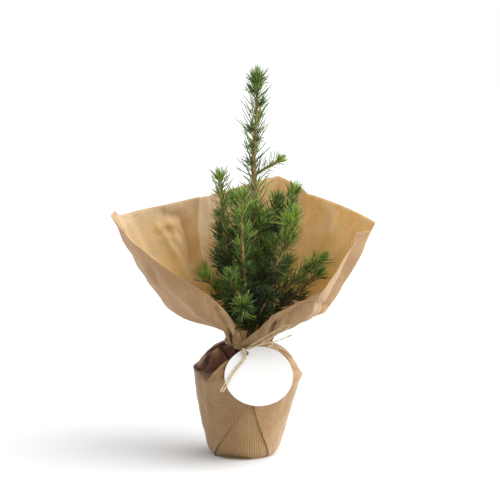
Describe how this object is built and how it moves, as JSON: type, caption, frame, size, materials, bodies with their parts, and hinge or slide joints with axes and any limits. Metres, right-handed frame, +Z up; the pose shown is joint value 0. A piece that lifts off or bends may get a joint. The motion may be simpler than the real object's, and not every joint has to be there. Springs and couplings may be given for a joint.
{
  "type": "potted dwarf conifer",
  "caption": "Small potted Alberta spruce, its pot wrapped in ribbed brown paper that is tied with twine and flares into an open collar, with a blank round card tag.",
  "frame": {"origin": "middle of the flat underside of the paper-wrapped pot", "axes": "+Z up along the plant, the card tag faces -Y, +X to the right of a viewer who faces the tag"},
  "size_m": [0.2259, 0.1526, 0.3399],
  "materials": {
    "brown_paper": "ribbed, matte",
    "white_card": "smooth matte card",
    "straw_twine": "dry twisted straw",
    "bark": "rough thin bark",
    "foliage": "short needles, satin",
    "pot_plastic": "matte",
    "soil": "crumbly compost"
  },
  "bodies": {
    "root": {"bough_back_left": "bark", "bough_back_middle": "bark", "bough_back_right": "bark", "bough_back_top": "bark", "bough_back_upper": "bark", "bough_centre_low": "bark", "bough_front_left": "bark", "bough_front_low": "bark", "bough_front_upright": "bark", "bough_left_back": "bark", "bough_left_low": "bark", "bough_left_upright": "bark", "bough_right_back": "bark", "bough_right_front": "bark", "bough_right_long": "bark", "bough_right_low": "bark", "bough_top_right": "bark", "foliage_back_left": "foliage", "foliage_back_middle": "foliage", "foliage_back_right": "foliage", "foliage_back_top": "foliage", "foliage_back_upper": "foliage", "foliage_centre_low": "foliage", "foliage_front_left": "foliage", "foliage_front_low": "foliage", "foliage_front_upright": "foliage", "foliage_heart_high": "foliage", "foliage_heart_low": "foliage", "foliage_leader_foot": "foliage", "foliage_leader_high": "foliage", "foliage_leader_low": "foliage", "foliage_leader_middle": "foliage", "foliage_leader_tip": "foliage", "foliage_left_back": "foliage", "foliage_left_low": "foliage", "foliage_left_upright": "foliage", "foliage_right_back": "foliage", "foliage_right_front": "foliage", "foliage_right_long": "foliage", "foliage_right_low": "foliage", "foliage_top_right": "foliage", "paper_collar": "brown_paper", "pot": "pot_plastic", "pot_wrap": "brown_paper", "soil": "soil", "tag": "white_card", "trunk": "bark", "twine": "straw_twine"}
  },
  "joints": []
}
